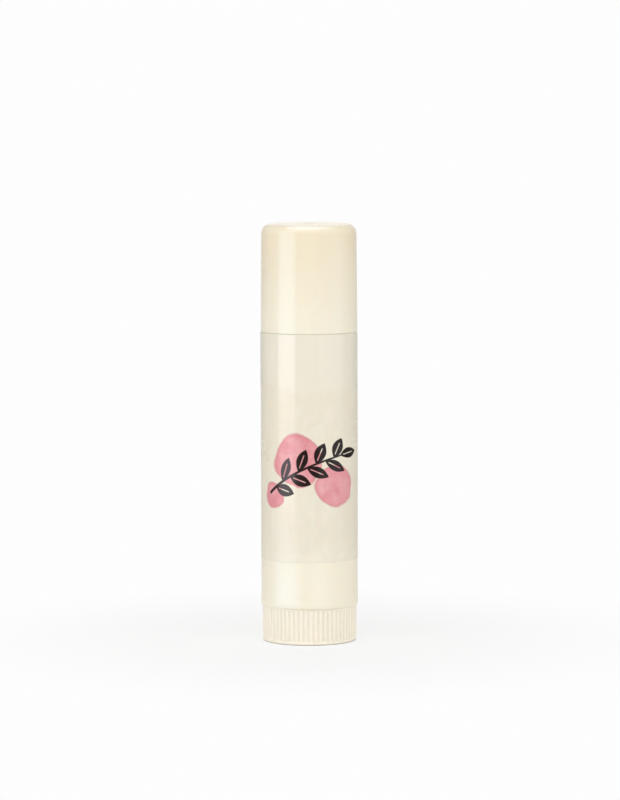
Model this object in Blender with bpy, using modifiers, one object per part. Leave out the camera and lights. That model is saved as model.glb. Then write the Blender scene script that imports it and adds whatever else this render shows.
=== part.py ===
"""A round twist-up lip balm stick with its cap on, about half used.

The origin is the middle of the flat foot that it stands on, +Z runs up the axis, and -Y is the front of
the label. Turning the ribbed dial turns the screw, and the keyed elevator cup climbs it with the balm.
"""

import math

import bmesh
import bpy
from mathutils import Matrix

# Driving dimensions, in metres
BARREL_RADIUS = 0.00795
BARREL_LENGTH = 0.04512
NECK_LENGTH = 0.0090
SHOULDER_WIDTH = 0.00095
NECK_WALL = 0.0007
CAP_HEIGHT = 0.0176
CAP_GAP = 0.00015
DIAL_HEIGHT = 0.00565
DIAL_GAP = 0.00028
LEAD = 0.0032
RISE_LEFT = 0.0080

# Fineness
ROUND_SEGMENTS = 64
SCREW_SEGMENTS = 18
CORNER_STEPS = 5
EDGE_STEPS = 2
CREASE_ANGLE = math.radians(35)
WELD = 0.000001
OVERRUN = 0.0010

# Barrel
EDGE_ROUND = 0.0002
FOOT_LIP_RISE = 0.00008
FOOT_LIP_HEIGHT = 0.00105
RIM_ROUND = 0.0002
BORE_LEAD_IN = 0.0003
NECK_BEAD_RISE = 0.0001
NECK_BEAD_HEIGHT = 0.0008
NECK_BEAD_UP = 0.0030
SNAP_GROOVE_DEPTH = 0.00035
SNAP_GROOVE_HEIGHT = 0.0012
KEY_COUNT = 2
KEY_WIDTH = 0.0012
KEY_RISE = 0.00035
KEY_SINK = 0.0005
KEY_HUB_GAP = 0.00035
KEY_END_DOWN = 0.0010

# Dial
DIAL_SETBACK = 0.00017
RIB_COUNT = 60
RIB_PHASE = math.radians(1.7)
RIB_GROOVE_DEPTH = 0.00022
RIB_CUTTER_RADIUS = 0.0005
COLLAR_HEIGHT = 0.0004
COLLAR_STEP = 0.00015
FOOT_ROUND = 0.00035
FOOT_RING_WIDTH = 0.0023
FOOT_RECESS_DEPTH = 0.0004
DIAL_FLOOR = 0.0012
HUB_CLEARANCE = 0.00015
HUB_WALL = 0.0010
HUB_RISE = 0.0044
HUB_ROUND = 0.0003
SNAP_DOWN = 0.0014
SNAP_BEAD_RISE = 0.00022
SNAP_BEAD_HEIGHT = 0.0007
SOCKET_WALL = 0.0011
SOCKET_DEPTH = 0.0038
SOCKET_FLOOR = 0.0004

# Lead screw
THREAD_RADIUS = 0.0020
THREAD_DEPTH = 0.00055
THREAD_ROOT_SHARE = 0.5
THREAD_CREST_SHARE = 0.25
THREAD_SINK = 0.0003
SCREW_TIP_CHAMFER = 0.0005
HEX_RADIUS = 0.0018
HEX_CLEARANCE = 0.00005
HEX_END_GAP = 0.0002
HEX_SINK = 0.0003
FLANGE_RISE = 0.0009
FLANGE_HEIGHT = 0.0009
FLANGE_GAP = 0.0001

# Elevator cup
CUP_HUB_GAP = 0.0005
CUP_TOP_GAP = 0.0041
CUP_HEIGHT = 0.0070
CUP_CLEARANCE = 0.00015
CUP_WALL = 0.0007
CUP_FLOOR = 0.0010
CUP_RIM_ROUND = 0.00025
NUT_WALL = 0.0011
NUT_HEIGHT = 0.0045
NUT_CLEARANCE = 0.00012
NUT_SIDE_CLEARANCE = 0.00012
KEY_CLEARANCE = 0.00015
HOLD_SLOT_WIDTH = 0.0030
HOLD_SLOT_DEPTH = 0.0028

# Balm
BALM_CLEARANCE = 0.00015
BALM_BORE_CLEARANCE = 0.0002
BALM_CROWN = 0.0013
BALM_CROWN_STEPS = 6
BALM_HOLE_CHAMFER = 0.0005
BALM_HEAD_ROOM = 0.00035

# Cap
CAP_PROUD = 0.00005
CAP_DRAFT = 0.00013
CAP_CORNER = 0.0016
CAP_TOP_WALL = 0.0008
CAP_CLEARANCE = 0.0002
CAP_INNER_CORNER = 0.0008
CAP_LIP_ROUND = 0.00025
CAP_BEAD_RISE = 0.00005
CAP_BEAD_HEIGHT = 0.0008
CAP_BEAD_UP = 0.0015

# Label
LABEL_TOP_DOWN = 0.00035
LABEL_FOOT_UP = 0.00767
LABEL_GAP = 0.00003
FILM_THICKNESS = 0.00007
LABEL_SEAM_SEGMENT = 21
LABEL_LAP_SEGMENTS = 3
LABEL_LAP_GAP = 0.00003

# Heights that follow from the sizes above
BARREL_FOOT_Z = DIAL_HEIGHT + DIAL_GAP
SHOULDER_Z = BARREL_FOOT_Z + BARREL_LENGTH
RIM_Z = SHOULDER_Z + NECK_LENGTH
CAP_MOUTH_Z = SHOULDER_Z + CAP_GAP
CAP_TOP_Z = CAP_MOUTH_Z + CAP_HEIGHT
CAP_CEILING_Z = CAP_TOP_Z - CAP_TOP_WALL
DIAL_FLOOR_Z = FOOT_RECESS_DEPTH + DIAL_FLOOR
HUB_TOP_Z = DIAL_HEIGHT + HUB_RISE
SNAP_Z = HUB_TOP_Z - SNAP_DOWN
SOCKET_FLOOR_Z = DIAL_FLOOR_Z + SOCKET_FLOOR
SOCKET_TOP_Z = SOCKET_FLOOR_Z + SOCKET_DEPTH
FLANGE_Z = SOCKET_TOP_Z + FLANGE_GAP
CUP_LOWEST_Z = HUB_TOP_Z + CUP_HUB_GAP
CUP_HIGHEST_Z = RIM_Z - CUP_TOP_GAP - CUP_HEIGHT
CUP_Z = CUP_HIGHEST_Z - RISE_LEFT
CUP_RIM_Z = CUP_Z + CUP_HEIGHT
NUT_TOP_Z = CUP_Z + NUT_HEIGHT
SCREW_TOP_Z = CUP_HIGHEST_Z + NUT_HEIGHT
BALM_TOP_Z = CAP_CEILING_Z - BALM_HEAD_ROOM - RISE_LEFT
LABEL_TOP_Z = SHOULDER_Z - LABEL_TOP_DOWN
LABEL_FOOT_Z = BARREL_FOOT_Z + LABEL_FOOT_UP

# Radii and widths that follow from the sizes above
NECK_RADIUS = BARREL_RADIUS - SHOULDER_WIDTH
BORE_RADIUS = NECK_RADIUS - NECK_WALL
DIAL_RADIUS = BARREL_RADIUS - DIAL_SETBACK
HUB_RADIUS = BORE_RADIUS - HUB_CLEARANCE
SOCKET_BOSS_RADIUS = HEX_RADIUS + HEX_CLEARANCE + SOCKET_WALL
SCREW_CORE_RADIUS = THREAD_RADIUS - THREAD_DEPTH
THREAD_ROOT_WIDTH = THREAD_ROOT_SHARE * LEAD
THREAD_CREST_WIDTH = THREAD_CREST_SHARE * LEAD
NUT_RADIUS = THREAD_RADIUS + NUT_CLEARANCE + NUT_WALL
CUP_RADIUS = BORE_RADIUS - CUP_CLEARANCE
CUP_INNER_RADIUS = CUP_RADIUS - CUP_WALL
BALM_RADIUS = BORE_RADIUS - BALM_CLEARANCE
BALM_BORE_RADIUS = THREAD_RADIUS + BALM_BORE_CLEARANCE
CAP_BORE_RADIUS = NECK_RADIUS + CAP_CLEARANCE
CAP_MOUTH_RADIUS = BARREL_RADIUS + CAP_PROUD
CAP_TOP_RADIUS = CAP_MOUTH_RADIUS - CAP_DRAFT
NOTCH_RADIUS = BORE_RADIUS - KEY_RISE - KEY_CLEARANCE
NOTCH_WIDTH = KEY_WIDTH + 2 * KEY_CLEARANCE

# Colours, as red, green and blue
CREAM = (0.90, 0.82, 0.66)
NATURAL = (0.88, 0.87, 0.82)
BALM_YELLOW = (0.87, 0.78, 0.55)
FILM_GREY = (0.84, 0.80, 0.70)


def clear_scene():
    """Removes whatever the scene holds."""
    for obj in list(bpy.data.objects):
        bpy.data.objects.remove(obj, do_unlink=True)


def new_collection(name):
    collection = bpy.data.collections.new(name)
    bpy.context.scene.collection.children.link(collection)
    return collection


def plastic(name, colour, roughness):
    """A Principled material of one colour, which is not a metal."""
    material = bpy.data.materials.new(name)
    material.use_nodes = True
    shader = material.node_tree.nodes["Principled BSDF"]
    shader.inputs["Base Color"].default_value = (*colour, 1.0)
    shader.inputs["Roughness"].default_value = roughness
    shader.inputs["Metallic"].default_value = 0.0
    return material


def add_object(name, mesh, collection, material=None):
    obj = bpy.data.objects.new(name, mesh)
    collection.objects.link(obj)
    if material:
        mesh.materials.append(material)
    return obj


def as_tool(obj):
    """Marks a shape that only cuts another or is joined to it."""
    obj.hide_render = True
    obj.display_type = "WIRE"
    return obj


def combine(obj, tool, operation):
    modifier = obj.modifiers.new(tool.name, "BOOLEAN")
    modifier.operation = operation
    modifier.object = tool


def finish(obj):
    """Applies the modifiers, and shades the result smooth between its creases."""
    bpy.context.view_layer.update()
    mesh = bpy.data.meshes.new_from_object(obj.evaluated_get(bpy.context.evaluated_depsgraph_get()))
    obj.modifiers.clear()
    obj.data = mesh
    mesh.shade_smooth()
    mesh.set_sharp_from_angle(angle=CREASE_ANGLE)


def arc(centre_r, centre_z, radius, start, end, steps):
    """Points of an arc in the turning plane, with its angles in degrees from outwards to up."""
    points = []
    for i in range(steps + 1):
        angle = math.radians(start + (end - start) * i / steps)
        points.append((centre_r + radius * math.cos(angle), centre_z + radius * math.sin(angle)))
    return points


def ridge(radius, rise, centre_z, height):
    """Points down a low bead with sloping sides, or a groove where rise is negative."""
    return [
        (radius, centre_z + height / 2),
        (radius + rise, centre_z + height / 4),
        (radius + rise, centre_z - height / 4),
        (radius, centre_z - height / 2),
    ]


def turned(name, outline, closed, segments, collection, material=None, phase=0.0):
    """A turned solid. Its outline runs down the outside, from the top, and back up the inside."""
    mesh = bpy.data.meshes.new(name)
    shape = bmesh.new()
    verts = [shape.verts.new((r * math.cos(phase), r * math.sin(phase), z)) for r, z in outline]
    for a, b in zip(verts, verts[1:]):
        shape.edges.new((a, b))
    if closed:
        shape.edges.new((verts[-1], verts[0]))
    shape.to_mesh(mesh)
    shape.free()
    obj = add_object(name, mesh, collection, material)
    screw = obj.modifiers.new("Turn", "SCREW")
    screw.axis = "Z"
    screw.angle = 2 * math.pi
    screw.steps = screw.render_steps = segments
    screw.use_merge_vertices = True
    screw.merge_threshold = WELD
    return obj


def box_between(shape, low, high, turn=0.0):
    """Adds a box to a bmesh, from its low corner to its high one, then turned about Z."""
    size = [b - a for a, b in zip(low, high)]
    middle = [(a + b) / 2 for a, b in zip(low, high)]
    place = Matrix.Rotation(turn, 4, "Z") @ Matrix.Translation(middle) @ Matrix.Diagonal((*size, 1))
    bmesh.ops.create_cube(shape, size=1, matrix=place)


def prism(shape, sides, radius, low_z, high_z, place):
    """Adds an upright prism of so many sides, with place in X and Y as a matrix."""
    up = Matrix.Translation((0, 0, (low_z + high_z) / 2))
    bmesh.ops.create_cone(
        shape,
        cap_ends=True,
        segments=sides,
        radius1=radius,
        radius2=radius,
        depth=high_z - low_z,
        matrix=up @ place,
    )


def tool_from(name, shape, collection):
    mesh = bpy.data.meshes.new(name)
    shape.to_mesh(mesh)
    shape.free()
    return as_tool(add_object(name, mesh, collection))


def key_bars(name, inner_radius, outer_radius, width, low_z, high_z, collection):
    """Bars at the barrel's key places, as solid keys or as cutters for their slots."""
    shape = bmesh.new()
    for i in range(KEY_COUNT):
        turn = 2 * math.pi * i / KEY_COUNT
        box_between(shape, (inner_radius, -width / 2, low_z), (outer_radius, width / 2, high_z), turn)
    return tool_from(name, shape, collection)


def thread_rib(name, core_radius, crest_radius, root_width, crest_width, low_z, high_z, collection):
    """A left-hand helical rib. Its place round the axis depends on its height alone, so ribs mesh."""
    turns = math.ceil((high_z - low_z) / LEAD)
    root_radius = core_radius - THREAD_SINK
    start_angle = -2 * math.pi * low_z / LEAD
    outline = [
        (root_radius, -root_width / 2),
        (root_radius, root_width / 2),
        (crest_radius, crest_width / 2),
        (crest_radius, -crest_width / 2),
    ]
    mesh = bpy.data.meshes.new(name)
    shape = bmesh.new()
    verts = [shape.verts.new((r, 0.0, low_z + z)) for r, z in outline]
    for a, b in zip(verts, verts[1:] + verts[:1]):
        shape.edges.new((a, b))
    shape.to_mesh(mesh)
    shape.free()
    helix = add_object(name + "_path", mesh, collection)
    screw = helix.modifiers.new("Wind", "SCREW")
    screw.axis = "Z"
    screw.angle = -2 * math.pi
    screw.screw_offset = LEAD
    screw.iterations = turns
    screw.steps = screw.render_steps = SCREW_SEGMENTS
    bpy.context.view_layer.update()
    wound = helix.evaluated_get(bpy.context.evaluated_depsgraph_get())
    shape = bmesh.new()
    shape.from_mesh(wound.to_mesh())
    wound.to_mesh_clear()
    bpy.data.objects.remove(helix)
    bmesh.ops.remove_doubles(shape, verts=shape.verts, dist=WELD)
    bmesh.ops.holes_fill(shape, edges=[e for e in shape.edges if e.is_boundary], sides=len(outline))
    bmesh.ops.recalc_face_normals(shape, faces=shape.faces)
    bmesh.ops.rotate(shape, verts=shape.verts, matrix=Matrix.Rotation(start_angle, 3, "Z"))
    return tool_from(name, shape, collection)


def make_cap(collection, material):
    lip_z = CAP_MOUTH_Z + CAP_LIP_ROUND
    corner_z = CAP_CEILING_Z - CAP_INNER_CORNER
    bead = ridge(CAP_BORE_RADIUS, -CAP_BEAD_RISE, CAP_MOUTH_Z + CAP_BEAD_UP, CAP_BEAD_HEIGHT)
    outline = [(0.0, CAP_TOP_Z)]
    outline += arc(CAP_TOP_RADIUS - CAP_CORNER, CAP_TOP_Z - CAP_CORNER, CAP_CORNER, 90, 0, CORNER_STEPS)
    outline += arc(CAP_MOUTH_RADIUS - CAP_LIP_ROUND, lip_z, CAP_LIP_ROUND, 0, -90, EDGE_STEPS)
    outline += arc(CAP_BORE_RADIUS + CAP_LIP_ROUND, lip_z, CAP_LIP_ROUND, -90, -180, EDGE_STEPS)
    outline += reversed(bead)
    outline += arc(CAP_BORE_RADIUS - CAP_INNER_CORNER, corner_z, CAP_INNER_CORNER, 0, 90, EDGE_STEPS)
    outline += [(0.0, CAP_CEILING_Z)]
    finish(turned("cap", outline, False, ROUND_SEGMENTS, collection, material))


def make_barrel(collection, tools, material):
    groove = ridge(BORE_RADIUS, SNAP_GROOVE_DEPTH, SNAP_Z, SNAP_GROOVE_HEIGHT)
    lip_radius = BARREL_RADIUS + FOOT_LIP_RISE
    lip_z = BARREL_FOOT_Z + FOOT_LIP_HEIGHT
    outline = arc(NECK_RADIUS - RIM_ROUND, RIM_Z - RIM_ROUND, RIM_ROUND, 90, 0, EDGE_STEPS)
    outline += ridge(NECK_RADIUS, NECK_BEAD_RISE, SHOULDER_Z + NECK_BEAD_UP, NECK_BEAD_HEIGHT)
    outline += [(NECK_RADIUS, SHOULDER_Z)]
    outline += arc(BARREL_RADIUS - EDGE_ROUND, SHOULDER_Z - EDGE_ROUND, EDGE_ROUND, 90, 0, EDGE_STEPS)
    outline += [(BARREL_RADIUS, lip_z + FOOT_LIP_RISE), (lip_radius, lip_z)]
    outline += arc(lip_radius - EDGE_ROUND, BARREL_FOOT_Z + EDGE_ROUND, EDGE_ROUND, 0, -90, EDGE_STEPS)
    outline += [
        (BORE_RADIUS + BORE_LEAD_IN, BARREL_FOOT_Z),
        (BORE_RADIUS, BARREL_FOOT_Z + BORE_LEAD_IN),
    ]
    outline += reversed(groove)
    outline += arc(BORE_RADIUS + RIM_ROUND, RIM_Z - RIM_ROUND, RIM_ROUND, 180, 90, EDGE_STEPS)
    barrel = turned("barrel", outline, True, ROUND_SEGMENTS, collection, material)
    keys = key_bars(
        "barrel_keys",
        BORE_RADIUS - KEY_RISE,
        BORE_RADIUS + KEY_SINK,
        KEY_WIDTH,
        HUB_TOP_Z + KEY_HUB_GAP,
        RIM_Z - KEY_END_DOWN,
        tools,
    )
    combine(barrel, keys, "UNION")
    finish(barrel)


def make_dial(collection, tools, material):
    collar_z = DIAL_HEIGHT - COLLAR_HEIGHT
    collar_radius = DIAL_RADIUS - COLLAR_STEP
    recess_radius = DIAL_RADIUS - FOOT_RING_WIDTH
    outline = [
        (0.0, SOCKET_TOP_Z),
        (SOCKET_BOSS_RADIUS, SOCKET_TOP_Z),
        (SOCKET_BOSS_RADIUS, DIAL_FLOOR_Z),
        (HUB_RADIUS - HUB_WALL, DIAL_FLOOR_Z),
        (HUB_RADIUS - HUB_WALL, HUB_TOP_Z),
    ]
    outline += arc(HUB_RADIUS - HUB_ROUND, HUB_TOP_Z - HUB_ROUND, HUB_ROUND, 90, 0, EDGE_STEPS)
    outline += ridge(HUB_RADIUS, SNAP_BEAD_RISE, SNAP_Z, SNAP_BEAD_HEIGHT)
    outline += [
        (HUB_RADIUS, DIAL_HEIGHT),
        (collar_radius, DIAL_HEIGHT),
        (collar_radius, collar_z),
        (DIAL_RADIUS, collar_z - COLLAR_STEP),
    ]
    outline += arc(DIAL_RADIUS - FOOT_ROUND, FOOT_ROUND, FOOT_ROUND, 0, -90, EDGE_STEPS)
    outline += [
        (recess_radius, 0.0),
        (recess_radius, FOOT_RECESS_DEPTH),
        (0.0, FOOT_RECESS_DEPTH),
    ]
    dial = turned("twist_dial", outline, False, RIB_COUNT, collection, material, RIB_PHASE)
    combine(dial, rib_grooves(collar_z, tools), "DIFFERENCE")
    socket = bmesh.new()
    prism(socket, 6, HEX_RADIUS + HEX_CLEARANCE, SOCKET_FLOOR_Z, SOCKET_TOP_Z + OVERRUN, Matrix())
    combine(dial, tool_from("dial_socket", socket, tools), "DIFFERENCE")
    finish(dial)


def rib_grooves(top_z, tools):
    """One three-sided prism for each valley between two ribs, with a corner pointing at the axis."""
    grooves = bmesh.new()
    out = DIAL_RADIUS - RIB_GROOVE_DEPTH + RIB_CUTTER_RADIUS
    for i in range(RIB_COUNT):
        angle = RIB_PHASE + 2 * math.pi * (i + 0.5) / RIB_COUNT
        corner_in = Matrix.Rotation(math.pi / 2, 4, "Z")
        place = Matrix.Rotation(angle, 4, "Z") @ Matrix.Translation((out, 0, 0)) @ corner_in
        prism(grooves, 3, RIB_CUTTER_RADIUS, -OVERRUN, top_z, place)
    return tool_from("dial_rib_grooves", grooves, tools)


def make_screw(collection, tools, material):
    tip_z = SCREW_TOP_Z - SCREW_TIP_CHAMFER
    flange_radius = HEX_RADIUS + FLANGE_RISE
    outline = [
        (0.0, SCREW_TOP_Z),
        (SCREW_CORE_RADIUS - SCREW_TIP_CHAMFER, SCREW_TOP_Z),
        (SCREW_CORE_RADIUS, tip_z),
        (SCREW_CORE_RADIUS, FLANGE_Z + FLANGE_HEIGHT),
        (flange_radius, FLANGE_Z + FLANGE_HEIGHT),
        (flange_radius, FLANGE_Z),
        (0.0, FLANGE_Z),
    ]
    lead_screw = turned("lead_screw", outline, False, SCREW_SEGMENTS, collection, material)
    thread = thread_rib(
        "screw_thread",
        SCREW_CORE_RADIUS,
        THREAD_RADIUS,
        THREAD_ROOT_WIDTH,
        THREAD_CREST_WIDTH,
        CUP_LOWEST_Z,
        tip_z - LEAD,
        tools,
    )
    combine(lead_screw, thread, "UNION")
    foot = bmesh.new()
    prism(foot, 6, HEX_RADIUS, SOCKET_FLOOR_Z + HEX_END_GAP, FLANGE_Z + HEX_SINK, Matrix())
    combine(lead_screw, tool_from("screw_foot", foot, tools), "UNION")
    finish(lead_screw)


def make_cup(collection, tools, material):
    outline = [
        (0.0, NUT_TOP_Z),
        (NUT_RADIUS, NUT_TOP_Z),
        (NUT_RADIUS, CUP_Z + CUP_FLOOR),
        (CUP_INNER_RADIUS, CUP_Z + CUP_FLOOR),
    ]
    rim_z = CUP_RIM_Z - CUP_RIM_ROUND
    outline += arc(CUP_INNER_RADIUS + CUP_RIM_ROUND, rim_z, CUP_RIM_ROUND, 180, 90, EDGE_STEPS)
    outline += arc(CUP_RADIUS - CUP_RIM_ROUND, rim_z, CUP_RIM_ROUND, 90, 0, EDGE_STEPS)
    outline += [(CUP_RADIUS, CUP_Z), (0.0, CUP_Z)]
    cup = turned("elevator_cup", outline, False, ROUND_SEGMENTS, collection, material)
    notches = key_bars(
        "cup_key_notches",
        NOTCH_RADIUS,
        BORE_RADIUS + OVERRUN,
        NOTCH_WIDTH,
        CUP_Z - OVERRUN,
        CUP_RIM_Z + OVERRUN,
        tools,
    )
    combine(cup, notches, "DIFFERENCE")
    slots = bmesh.new()
    for turn in (-math.pi / 2, math.pi / 2):
        low = (CUP_INNER_RADIUS - CUP_WALL, -HOLD_SLOT_WIDTH / 2, CUP_RIM_Z - HOLD_SLOT_DEPTH)
        high = (CUP_RADIUS + OVERRUN, HOLD_SLOT_WIDTH / 2, CUP_RIM_Z + OVERRUN)
        box_between(slots, low, high, turn)
    combine(cup, tool_from("cup_hold_slots", slots, tools), "DIFFERENCE")
    combine(cup, nut_thread(tools), "DIFFERENCE")
    finish(cup)


def nut_thread(tools):
    """The screw's own shape, grown by the nut's clearances, which cuts the cup's threaded hole."""
    low_z = CUP_Z - OVERRUN
    high_z = NUT_TOP_Z + OVERRUN
    core_radius = SCREW_CORE_RADIUS + NUT_CLEARANCE
    outline = [(0.0, high_z), (core_radius, high_z), (core_radius, low_z), (0.0, low_z)]
    core = as_tool(turned("nut_thread", outline, False, SCREW_SEGMENTS, tools))
    thread = thread_rib(
        "nut_thread_rib",
        core_radius,
        THREAD_RADIUS + NUT_CLEARANCE,
        THREAD_ROOT_WIDTH + 2 * NUT_SIDE_CLEARANCE,
        THREAD_CREST_WIDTH + 2 * NUT_SIDE_CLEARANCE,
        CUP_Z - LEAD,
        NUT_TOP_Z + LEAD,
        tools,
    )
    combine(core, thread, "UNION")
    return core


def make_balm(collection, tools, material):
    ledge_z = CUP_RIM_Z + BALM_CLEARANCE
    plug_z = CUP_Z + CUP_FLOOR + BALM_CLEARANCE
    nut_z = NUT_TOP_Z + BALM_CLEARANCE
    plug_radius = CUP_INNER_RADIUS - BALM_CLEARANCE
    nut_gap_radius = NUT_RADIUS + BALM_CLEARANCE
    mouth_radius = BALM_BORE_RADIUS + BALM_HOLE_CHAMFER
    outline = []
    for i in range(BALM_CROWN_STEPS + 1):
        angle = math.pi / 2 * i / BALM_CROWN_STEPS
        radius = mouth_radius + (BALM_RADIUS - mouth_radius) * math.sin(angle)
        outline.append((radius, BALM_TOP_Z - BALM_CROWN * (1 - math.cos(angle))))
    outline += [
        (BALM_RADIUS, ledge_z),
        (plug_radius, ledge_z),
        (plug_radius, plug_z),
        (nut_gap_radius, plug_z),
        (nut_gap_radius, nut_z),
        (BALM_BORE_RADIUS, nut_z),
        (BALM_BORE_RADIUS, BALM_TOP_Z - BALM_HOLE_CHAMFER),
    ]
    balm = turned("balm_stick", outline, True, ROUND_SEGMENTS, collection, material)
    grooves = key_bars(
        "balm_key_grooves",
        NOTCH_RADIUS,
        BORE_RADIUS + OVERRUN,
        NOTCH_WIDTH,
        CUP_RIM_Z,
        BALM_TOP_Z + OVERRUN,
        tools,
    )
    combine(balm, grooves, "DIFFERENCE")
    finish(balm)


def make_label(collection, material):
    """A film wrapped once round the barrel, with its outer end lapped over its inner one."""
    step = 2 * math.pi / ROUND_SEGMENTS
    inner = BARREL_RADIUS + LABEL_GAP
    lapped = inner + FILM_THICKNESS + LABEL_LAP_GAP
    mesh = bpy.data.meshes.new("wrap_label")
    shape = bmesh.new()
    verts = []
    for i in range(ROUND_SEGMENTS + LABEL_LAP_SEGMENTS + 1):
        angle = step * (LABEL_SEAM_SEGMENT + i)
        radius = inner if i < ROUND_SEGMENTS else lapped
        verts.append(shape.verts.new((radius * math.cos(angle), radius * math.sin(angle), LABEL_TOP_Z)))
    edges = [shape.edges.new(pair) for pair in zip(verts, verts[1:])]
    lower = bmesh.ops.extrude_edge_only(shape, edges=edges)["geom"]
    moved = [v for v in lower if isinstance(v, bmesh.types.BMVert)]
    bmesh.ops.translate(shape, verts=moved, vec=(0, 0, LABEL_FOOT_Z - LABEL_TOP_Z))
    bmesh.ops.recalc_face_normals(shape, faces=shape.faces)
    shape.to_mesh(mesh)
    shape.free()
    label = add_object("wrap_label", mesh, collection, material)
    film = label.modifiers.new("Film", "SOLIDIFY")
    film.thickness = FILM_THICKNESS
    film.offset = 1.0
    finish(label)


def main():
    clear_scene()
    parts = new_collection("lip_balm_stick")
    tools = new_collection("cutters")
    cream = plastic("cream_plastic", CREAM, 0.35)
    natural = plastic("natural_plastic", NATURAL, 0.45)
    balm = plastic("balm_wax", BALM_YELLOW, 0.5)
    film = plastic("label_film", FILM_GREY, 0.3)
    make_cap(parts, cream)
    make_barrel(parts, tools, cream)
    make_label(parts, film)
    make_dial(parts, tools, cream)
    make_screw(parts, tools, natural)
    make_cup(parts, tools, natural)
    make_balm(parts, tools, balm)


main()
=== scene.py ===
"""The looks of a twist-up lip balm stick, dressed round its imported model.

Lengths are in metres, and the patterns in the materials are in millimetres. +Z runs up the stick's axis
from its foot, and -Y is the front of its label.
"""

import math

import bmesh
import bpy
from mathutils import Matrix, Vector, noise


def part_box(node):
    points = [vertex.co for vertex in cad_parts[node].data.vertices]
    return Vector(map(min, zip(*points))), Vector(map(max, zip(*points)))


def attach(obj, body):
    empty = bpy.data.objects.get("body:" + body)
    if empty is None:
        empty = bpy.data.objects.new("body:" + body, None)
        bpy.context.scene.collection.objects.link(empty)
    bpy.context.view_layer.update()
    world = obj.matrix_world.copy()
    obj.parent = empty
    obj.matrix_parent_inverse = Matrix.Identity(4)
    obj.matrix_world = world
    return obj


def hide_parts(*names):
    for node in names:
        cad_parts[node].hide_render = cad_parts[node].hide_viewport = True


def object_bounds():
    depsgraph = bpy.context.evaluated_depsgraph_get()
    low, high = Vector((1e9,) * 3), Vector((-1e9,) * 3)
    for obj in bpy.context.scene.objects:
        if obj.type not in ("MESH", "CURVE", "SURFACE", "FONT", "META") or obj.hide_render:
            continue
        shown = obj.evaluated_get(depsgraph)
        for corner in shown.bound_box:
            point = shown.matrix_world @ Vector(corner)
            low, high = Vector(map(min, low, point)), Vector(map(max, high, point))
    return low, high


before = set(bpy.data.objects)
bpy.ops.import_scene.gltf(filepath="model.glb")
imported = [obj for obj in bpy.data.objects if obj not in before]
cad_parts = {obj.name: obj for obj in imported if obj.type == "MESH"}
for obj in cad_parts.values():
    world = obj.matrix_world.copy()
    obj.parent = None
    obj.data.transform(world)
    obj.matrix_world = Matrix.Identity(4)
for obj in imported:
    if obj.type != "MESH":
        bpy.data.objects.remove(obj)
model_low, model_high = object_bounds()

# Places taken from the frame
CAP_LOW, CAP_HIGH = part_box("cap")
BARREL_LOW, BARREL_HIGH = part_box("barrel")
LABEL_LOW, LABEL_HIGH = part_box("wrap_label")
DIAL_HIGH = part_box("twist_dial")[1]
SCREW_LOW, SCREW_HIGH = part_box("lead_screw")
CUP_LOW, CUP_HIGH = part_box("elevator_cup")
BALM_LOW, BALM_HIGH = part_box("balm_stick")

# Fineness
ROUND_STEPS = 192
RIB_STEPS = 10
SCREW_STEPS = 48
BEND_STEPS = 7
BAR_EDGE_STEPS = 3
CREASE_ANGLE = math.radians(38)
WELD = 0.000001
OVERRUN = 0.001

# Barrel
FOOT_LIFT = 0.00005
FOOT_LIP_RISE = 0.00008
FOOT_LIP_SOFT_RISE = 0.00004
FOOT_LIP_HEIGHT = 0.00080
FOOT_LIP_BLEND = 0.00070
FOOT_EDGE_ROUND = 0.00007
SHOULDER_EDGE_ROUND = 0.00007
SHOULDER_WIDTH = 0.00095
SHOULDER_FILLET = 0.00012
NECK_LENGTH = 0.0090
NECK_WALL = 0.0007
RIM_ROUND = 0.0002
NECK_BEAD_RISE = 0.0001
NECK_BEAD_HEIGHT = 0.0008
NECK_BEAD_UP = 0.0030
BORE_LEAD_IN = 0.0003
SNAP_GROOVE_DEPTH = 0.00035
SNAP_GROOVE_HEIGHT = 0.0012
SNAP_UP = 0.00272
KEY_COUNT = 2
KEY_WIDTH = 0.0012
KEY_RISE = 0.00035
KEY_SINK = 0.0005
KEY_FOOT_UP = 0.00447
KEY_END_DOWN = 0.0010
KEY_ROUND = 0.00010

# Cap
CAP_SETBACK = 0.00004
CAP_SEAT = 0.00012
CAP_DRAFT = 0.00015
CAP_CORNER = 0.0016
CAP_CLEARANCE = 0.0002
CAP_LIP_ROUND = 0.00010
CAP_TOP_WALL = 0.0008
CAP_INNER_CORNER = 0.0008
CAP_BEAD_RISE = 0.00005
CAP_BEAD_HEIGHT = 0.0008
CAP_BEAD_UP = 0.0015
CAP_GATE_RADIUS = 0.0009
CAP_GATE_SLOPE = 0.0002
CAP_GATE_DEPTH = 0.00006

# Dial
DIAL_SETBACK = 0.00017
DIAL_SEAM = 0.00004
DIAL_DRAFT = 0.00004
RIB_COUNT = 60
RIB_PHASE = math.radians(1.7)
RIB_DEPTH = 0.00014
RIB_NARROWNESS = 1.9
RIB_RUN_OUT = 0.00030
RIB_FOOT_UP = 0.00034
RIB_ROWS = 8
COLLAR_HEIGHT = 0.00014
COLLAR_ROUND = 0.00006
FOOT_ROUND = 0.00030
FOOT_RING_WIDTH = 0.0023
FOOT_RING_ROUND = 0.00012
FOOT_RECESS_DEPTH = 0.0004
FOOT_GATE_RADIUS = 0.0007
FOOT_GATE_SLOPE = 0.00012
FOOT_GATE_RISE = 0.00015
DIAL_FLOOR = 0.0012
HUB_CLEARANCE = 0.00015
HUB_WALL = 0.0010
HUB_ROUND = 0.0003
SNAP_BEAD_RISE = 0.00022
SNAP_BEAD_HEIGHT = 0.0007
SNAP_DOWN = 0.0014
HEX_SIDES = 6
HEX_RADIUS = 0.0018
HEX_CLEARANCE = 0.00005
HEX_END_GAP = 0.0002
HEX_SINK = 0.0003
SOCKET_WALL = 0.0011
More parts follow.
